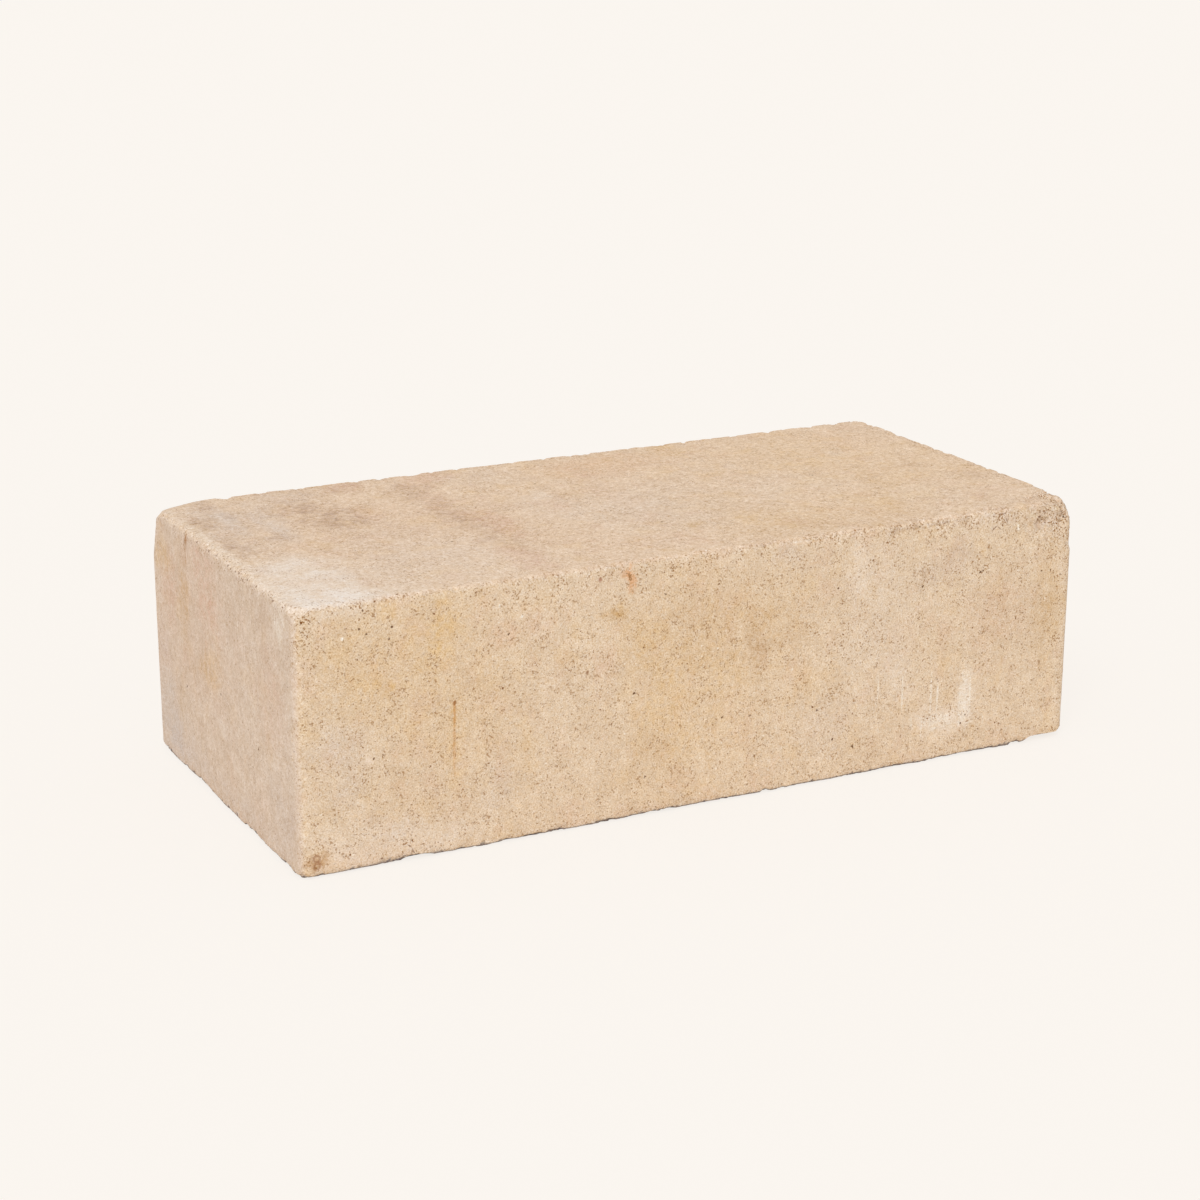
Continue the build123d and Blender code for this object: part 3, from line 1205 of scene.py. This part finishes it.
PATCHES = (
    *patches_on(
        FRONT, Tint.OCHRE,
        (-82, 46, 30, 20, 0.18), (-70.5, 55, 3.6, 8.5, 0.24), (-68, 28, 1.8, 13, 0.24),
        (-86.5, 44, 3.4, 2.8, 0.36), (-84.5, 62, 2.6, 3, 0.3), (-103.5, 3.8, 3.4, 3.2, 0.22),
        (4, 40, 28, 18, 0.16), (-14, 26, 8, 20, 0.08), (-20, 46, 6, 5, 0.08), (-27, 52.5, 4, 1.8, 0.55),
        (13, 42, 7, 9, 0.06), (-6, 26, 17, 26, 0.1), (99.5, 38, 4, 15, 0.22),
    ),
    *patches_on(
        TOP, Tint.OCHRE,
        (12, 36, 20, 10, 0.12), (38, 44, 8, 8, 0.24), (7.6, -28.6, 2.2, 2.4, 0.45), (42, -36, 32, 13, 0.14),
        (76, 8, 28, 40, 0.12), (22, -30, 5, 22, 0.07), (68, 16, 8, 20, 0.07), (76, -16, 7, 16, 0.07),
        (-60, 21, 3, 5, 0.15),
    ),
    *patches_on(
        LEFT, Tint.OCHRE,
        (42.5, 55, 5, 5, 0.38), (26.5, 46, 4.4, 12, 0.2), (9, 33, 8, 5, 0.22),
    ),
    *patches_on(
        FRONT, Tint.UMBER,
        (-86.5, 43.5, 2.4, 2, 0.11), (-90, 12, 2.3, 2.2, 0.2), (-41, 40, 2.4, 3.4, 0.11),
        (-50, 18, 2.2, 2.6, 0.09), (4, 44, 24, 12, 0.08), (-15.5, 17, 3.6, 5, 0.11),
        (-27, 52.5, 3.4, 1.4, 0.34), (-7, 50, 6, 5, 0.09), (12.3, 39, 3.8, 3.4, 0.26), (22, 42, 5, 5, 0.04),
        (88, 38, 14, 12, 0.07), (99.5, 36, 3.6, 14, 0.13),
    ),
    *patches_on(
        TOP, Tint.UMBER,
        (-39, -30, 3, 10, 0.14), (-46, 34, 3.6, 4, 0.16), (38, 44, 6, 6, 0.06), (7.6, -28.6, 1.8, 2, 0.4),
        (42, -42, 34, 8, 0.06), (89, 0, 5, 7, 0.14), (99, -18, 4, 6, 0.13),
    ),
    *patches_on(
        LEFT, Tint.UMBER,
        (41, 54, 4, 4, 0.1), (26, 46, 4, 12, 0.14), (22, 63, 2.2, 2.6, 0.3), (13, 32, 6, 5, 0.14),
        (-32, 55, 3.5, 8, 0.13),
    ),
    *patches_on(
        FRONT, Tint.SOOT,
        (-63, 41, 3, 2.6, 0.16), (63, 50, 4, 3.4, 0.16), (72, 54, 4, 5, 0.15), (99, 61.5, 6, 3, 0.16),
    ),
    *patches_on(
        TOP, Tint.SOOT,
        (-95.5, 42, 4, 5, 0.36), (-101, 27, 4, 7, 0.34), (-101.5, 3, 3.2, 9, 0.32), (-88, 6.5, 3, 3, 0.36),
        (-93, 31, 1.6, 5, 0.25), (-70, 22, 11, 15, 0.27), (-69, 15, 6, 8, 0.2), (-76, 30, 8, 9, 0.15),
        (-62, 45, 10, 5, 0.19), (-42.5, 24, 5.5, 26, 0.24), (-41.5, -8, 5, 20, 0.2),
    ),
    *patches_on(
        LEFT, Tint.SOOT,
        (33, 24, 4, 3, 0.19), (-46, 11, 4, 5, 0.18),
    ),
    *patches_on(
        FRONT, Tint.CHALK,
        (-90, 5, 16, 6, 0.27), (-96, 63, 6, 1.6, 0.32), (-99, 34, 4, 4, 0.16), (-70, 5, 8, 4, 0.24),
        (47, 40, 10, 24, 0.12), (41.5, 54, 2.4, 8, 0.27), (55, 24, 3, 9, 0.18), (68.5, 11.5, 9, 4, 0.38),
        (75.4, 16, 2.4, 7.5, 0.32),
    ),
    *patches_on(
        TOP, Tint.CHALK,
        (-99, -41, 15, 19, 0.66), (-89, -48, 14, 5, 0.36), (-97, -19, 9, 8, 0.22), (-92, -12, 4, 6, 0.19),
        (-64, -32, 24, 18, 0.12), (-86, 14, 3, 12, 0.17), (-94.5, 26, 1.6, 9, 0.2),
        (-99.5, 36, 2.4, 4, 0.23), (-15, 15, 3, 5, 0.23), (0, -10, 18, 20, 0.09), (44, 20, 2.6, 3, 0.22),
        (78, 19, 2.6, 4, 0.22), (48, -6, 14, 12, 0.11), (76, -30, 7, 9, 0.17),
    ),
    *patches_on(
        LEFT, Tint.CHALK,
        (-43, 61, 6, 4, 0.24), (-9, 42.5, 6, 1.8, 0.22), (0, 20.5, 2.8, 2.2, 0.37), (-14, 10, 5, 4, 0.16),
    ),
    *patches_on(
        TOP, Tint.CREAM,
        (-105.2, 0, 1.7, 52, 0.6),
    ),
    *patches_on(
        FRONT, Tint.ROSE,
        (-92, 3, 16, 3, 0.14), (-56, 52, 4.5, 3.5, 0.27), (-47, 54, 4, 3, 0.22), (-29, 41, 3, 5, 0.22),
        (24, 31, 4, 4, 0.16), (84, 38, 10, 8, 0.2),
    ),
    *patches_on(
        TOP, Tint.ROSE,
        (-56, 45, 4.5, 5, 0.45), (-62, 17, 3, 6, 0.26), (-39.5, 18, 5, 28, 0.18), (-35, -6, 4.5, 15, 0.3),
        (-43, -38, 4.5, 13, 0.36), (-32, 44, 6, 7, 0.38), (14, 36, 20, 11, 0.26), (-16, 4, 3, 6, 0.22),
        (4, 8, 5, 26, 0.1), (-6, -39, 11, 8, 0.1), (88, 30, 7, 13, 0.1), (-64, 0, 44, 48, 0.08),
    ),
    *patches_on(
        LEFT, Tint.ROSE,
        (38, 48, 7, 12, 0.16), (20, 48, 28, 20, 0.14), (8, 54, 8, 11, 0.3), (45, 27, 7, 8, 0.22),
        (-34, 40, 8, 14, 0.18),
    ),
    *patches_on(
        FRONT, Tint.SLATE,
        (-98, 30, 6, 7, 0.24), (-96, 20, 4, 5, 0.22), (-58, 16, 5, 9, 0.18), (-81, 8, 5, 3, 0.28),
        (21, 61.5, 4, 2.6, 0.34), (34, 15, 11, 8, 0.15), (48, 42, 9, 22, 0.08), (63, 51, 5, 4, 0.12),
        (72, 55, 5, 6.5, 0.14), (98, 61, 7, 3.6, 0.16), (84, 62.5, 8, 2.4, 0.18),
    ),
    *patches_on(
        TOP, Tint.SLATE,
        (-64, -20, 20, 26, 0.12), (-86, 22, 4.5, 20, 0.34), (-95, 30, 3, 14, 0.26), (-98, 20, 9, 30, 0.25),
        (-74, 42, 10, 7, 0.25), (-22, 38, 10, 9, 0.15), (0, -8, 22, 24, 0.12),
    ),
    *patches_on(
        LEFT, Tint.SLATE,
        (44, 10, 11, 14, 0.58), (30, 8, 14, 7, 0.3), (45, 28, 7, 8, 0.35), (-42, 13, 8, 9, 0.32),
        (0, 5, 50, 3, 0.25),
    ),
    *patches_on(
        FRONT, Tint.PITTED,
        (0, 62.6, 112, 2.2, 0.3), (-104, 57, 4, 6, 0.6), (80, 50, 16, 9, 0.3), (102.5, 60.5, 6, 5, 0.9),
        (103.5, 56.5, 4.6, 6.5, 0.9), (102.5, 30, 2.4, 14, 0.6), (85, 62, 5, 2.2, 0.8),
        (51.5, 62, 4, 2, 0.75), (68, 63, 8, 1.6, 0.55), (23.5, 60, 4, 2.6, 0.7), (-9.5, 62, 3, 2, 0.65),
        (-22.5, 62, 3, 2, 0.65), (-90.5, 62, 4, 3, 0.6), (-103.5, 60, 2, 3, 0.7), (102.5, 3, 4, 2.4, 0.8),
        (74, 2.6, 5, 1.8, 0.7), (38, 2.2, 6, 1.4, 0.6), (9, 2.4, 7, 1.6, 0.65), (-16, 2.2, 7, 1.4, 0.55),
        (-81, 3, 3.5, 2.4, 0.75), (-103.5, 3.2, 2.4, 2.4, 0.7),
    ),
    *patches_on(
        TOP, Tint.PITTED,
        (104, 0, 2.6, 52, 0.45), (102, -47, 7, 5, 0.6), (-70, 48.5, 22, 1.6, 0.45), (0, 48.5, 60, 1.4, 0.4),
        (-90, -49, 6, 1.6, 0.45),
    ),
    *patches_on(
        LEFT, Tint.PITTED,
        (46, 58.5, 3, 4.5, 1), (48, 28, 2, 4, 0.7), (22.5, 62, 2.4, 2, 0.6), (0, 62.9, 50, 1.1, 0.85),
    ),
)


def marks_on(face: Face, colour: Paint, *rows: tuple[float, ...], into: float = 2.0) -> list[FineMark]:
    """Marks of one colour on one face, each row its centre, half sizes, strength and raggedness."""
    return [FineMark(face, row[:2], row[2:4], colour, row[4], row[5], into=into) for row in rows]


RUST = paint(200, 142, 76)
RING = paint(146, 90, 56)
EARTH = paint(112, 68, 36)
LIME = paint(240, 229, 214)
WHITE = paint(250, 242, 228)
LEFT_CRUMBS = (
    (14.4, 64.2), (5.5, 64.2), (0.6, 64.4), (-7.9, 64.0), (-13.6, 64.1), (-15.9, 64.3), (-18.5, 63.4),
    (-21.8, 64.2), (-27.7, 64.2), (-32.6, 64.4), (-35.2, 64.2), (-39.0, 63.9), (-49.6, 64.2),
)
MARKS = (
    *marks_on(LEFT, EARTH, *((y, z, 0.55, 0.34, 0.62, 0.7) for y, z in LEFT_CRUMBS), into=1.6),
    FineMark(FRONT, (-68.4, 34.1), (0.45, 4.6), RUST, 0.62, 0.45),
    FineMark(FRONT, (-68.4, 37.2), (0.65, 0.7), paint(156, 104, 54), 0.80, 0.35),
    FineMark(FRONT, (-68.6, 26.0), (0.55, 8.5), RUST, 0.38, 0.55),
    FineMark(FRONT, (-22.2, 60.5), (1.5, 4.4), paint(218, 156, 98), 0.54, 0.80),
    FineMark(FRONT, (-24.0, 62.3), (1.9, 1.2), paint(208, 148, 94), 0.40, 0.80),
    FineMark(FRONT, (-34.0, 39.2), (0.7, 0.9), paint(142, 98, 62), 0.75, 0.45),
    FineMark(FRONT, (-30.5, 61.6), (0.8, 0.8), paint(150, 88, 62), 0.65, 0.45),
    FineMark(FRONT, (-104.2, 3.6), (2.5, 2.3), paint(186, 146, 106), 0.60, 0.80, into=3.0),
    FineMark(FRONT, (-101.4, 4.8), (1.5, 2.4), paint(190, 150, 106), 0.55, 0.80, into=3.0),
    FineMark(FRONT, (-103.4, 4.8), (1.45, 1.25), RING, 0.70, 0.38, hollow=1.0, into=3.0),
    FineMark(FRONT, (-103.3, 2.9), (1.35, 1.25), RING, 0.70, 0.38, hollow=1.0, into=3.0),
    FineMark(FRONT, (-79.5, 2.4), (0.34, 1.0), EARTH, 0.75, 0.70, turned=-20.0),
    FineMark(FRONT, (-80.5, 3.9), (0.30, 1.2), EARTH, 0.62, 0.80, turned=-50.0),
    FineMark(FRONT, (-80.0, 5.2), (0.30, 0.9), EARTH, 0.40, 0.80),
    FineMark(FRONT, (-87.4, 1.9), (0.55, 0.35), EARTH, 0.75, 0.60),
    FineMark(FRONT, (-93.0, 1.0), (0.60, 0.35), paint(70, 60, 58), 0.75, 0.60),
    *marks_on(
        FRONT, LIME,
        (76.7, 17.2, 0.45, 7.8, 0.72, 0.30), (74.9, 15.4, 2.3, 9.4, 0.48, 0.60),
        (71.2, 10.2, 3.6, 3.2, 0.30, 0.85), (73.6, 13.4, 0.40, 7.2, 0.56, 0.35),
        (76.4, 8.9, 1.8, 0.35, 0.58, 0.30), (66.0, 11.2, 4.8, 2.2, 0.46, 0.85),
        (65.9, 9.0, 1.2, 0.55, 0.66, 0.40), (64.6, 18.6, 0.44, 6.6, 0.62, 0.35),
        (66.6, 17.8, 0.40, 6.0, 0.60, 0.35), (62.0, 9.8, 0.38, 3.8, 0.62, 0.35),
        (58.8, 11.8, 0.34, 2.6, 0.56, 0.35), (55.8, 20.0, 0.36, 6.2, 0.70, 0.30),
        (48.4, 22.6, 0.36, 3.8, 0.52, 0.30),
    ),
    *marks_on(
        FRONT, WHITE,
        (-95.7, 56.6, 0.48, 0.5, 1.0, 0.2), (-56.7, 59.0, 0.45, 0.5, 0.75, 0.2),
        (-51.0, 55.6, 0.40, 0.45, 0.75, 0.2),
    ),
    FineMark(FRONT, (89.5, 59.5), (0.60, 1.5), paint(244, 232, 214), 0.90, 0.2, turned=-12.0),
    FineMark(FRONT, (86.8, 63.3), (0.65, 0.7), paint(242, 230, 210), 0.75, 0.3),
    FineMark(FRONT, (93.8, 62.3), (2.2, 1.2), paint(230, 214, 190), 0.50, 0.6, into=3.0),
    FineMark(FRONT, (101.0, 63.0), (1.8, 1.2), paint(232, 214, 188), 0.55, 0.6, into=3.5),
    FineMark(FRONT, (98.7, 53.2), (1.5, 1.4), paint(230, 212, 188), 0.50, 0.5),
    FineMark(FRONT, (96.2, 61.5), (0.70, 0.35), EARTH, 0.85, 0.7, into=2.5),
    FineMark(FRONT, (95.7, 60.5), (0.35, 0.60), EARTH, 0.80, 0.6),
    FineMark(FRONT, (97.6, 62.6), (0.90, 0.40), EARTH, 0.65, 0.7, turned=30.0, into=3.5),
    FineMark(FRONT, (96.1, 62.9), (0.35, 0.60), EARTH, 0.65, 0.6, into=3.5),
    FineMark(FRONT, (98.3, 59.5), (0.40, 0.40), EARTH, 0.85, 0.5),
    FineMark(FRONT, (85.8, 61.9), (0.40, 0.90), EARTH, 0.55, 0.7, turned=-25.0),
    FineMark(FRONT, (84.4, 63.6), (1.50, 0.30), EARTH, 0.50, 0.8, into=2.5),
    FineMark(FRONT, (82.0, 60.2), (1.50, 0.28), EARTH, 0.60, 0.6, turned=-38.0),
    FineMark(FRONT, (83.7, 60.0), (1.30, 0.24), EARTH, 0.50, 0.6, turned=40.0),
    FineMark(LEFT, (-39.8, 59.2), (0.32, 4.8), LIME, 0.75, 0.3, turned=13.0),
    FineMark(LEFT, (-45.2, 60.5), (0.36, 4.4), LIME, 0.75, 0.3, turned=-52.0),
    FineMark(LEFT, (-42.4, 57.6), (2.8, 4.0), LIME, 0.36, 0.5),
    FineMark(LEFT, (22.4, 62.8), (1.10, 2.0), paint(176, 126, 82), 0.65, 0.5, turned=14.0, into=2.5),
    FineMark(LEFT, (23.0, 58.2), (0.34, 4.4), paint(188, 142, 98), 0.62, 0.4),
    FineMark(FRONT, (22.8, 31.4), (0.42, 0.42), WHITE, 0.75, 0.2),
)

STRAY_PITS = {FRONT: 16, LEFT: 3, TOP: 5}
CORNER_PITS = (
    (-90.5, 62.6), (-91.6, 58.4), (-84.3, 55.0), (-83.5, 57.8), (97.5, 46.9), (103.6, 45.2), (78.3, 49.1),
)


def stray_pits(counts: dict[Face, int], margin: float = 8.0, seed: int = 5) -> list[tuple[Face, Pair]]:
    """Draws places for single pits that lie anywhere on a face.

    Args:
        counts: How many each face gets.
        margin: How far they keep from the arrises, in millimetres.
        seed: The number that the draw starts from.

    Returns:
        The face and the place of each.
    """
    source = np.random.default_rng(seed)
    low, high = (np.array(corner, float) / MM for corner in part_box("brick"))
    pits = []
    for face, count in counts.items():
        sides = list(face.across)
        for first, second in source.uniform(low[sides] + margin, high[sides] - margin, (count, 2)):
            pits.append((face, (float(first), float(second))))
    return pits


LONE_PITS = (*stray_pits(STRAY_PITS), *((FRONT, spot) for spot in CORNER_PITS))


def main() -> None:
    """Builds the camera, the brick and the studio in order."""
    Viewpoint().build()
    clay = FiredClay(marks=MARKS, lone_pits=LONE_PITS)
    BrickSkin(worn_places=WORN_PLACES, patches=PATCHES).build(clay)
    Studio().build()
    bpy.context.scene.view_settings.view_transform = "Standard"


if __name__ == "__main__":
    logging.basicConfig(level=logging.INFO, format="%(message)s")
    main()
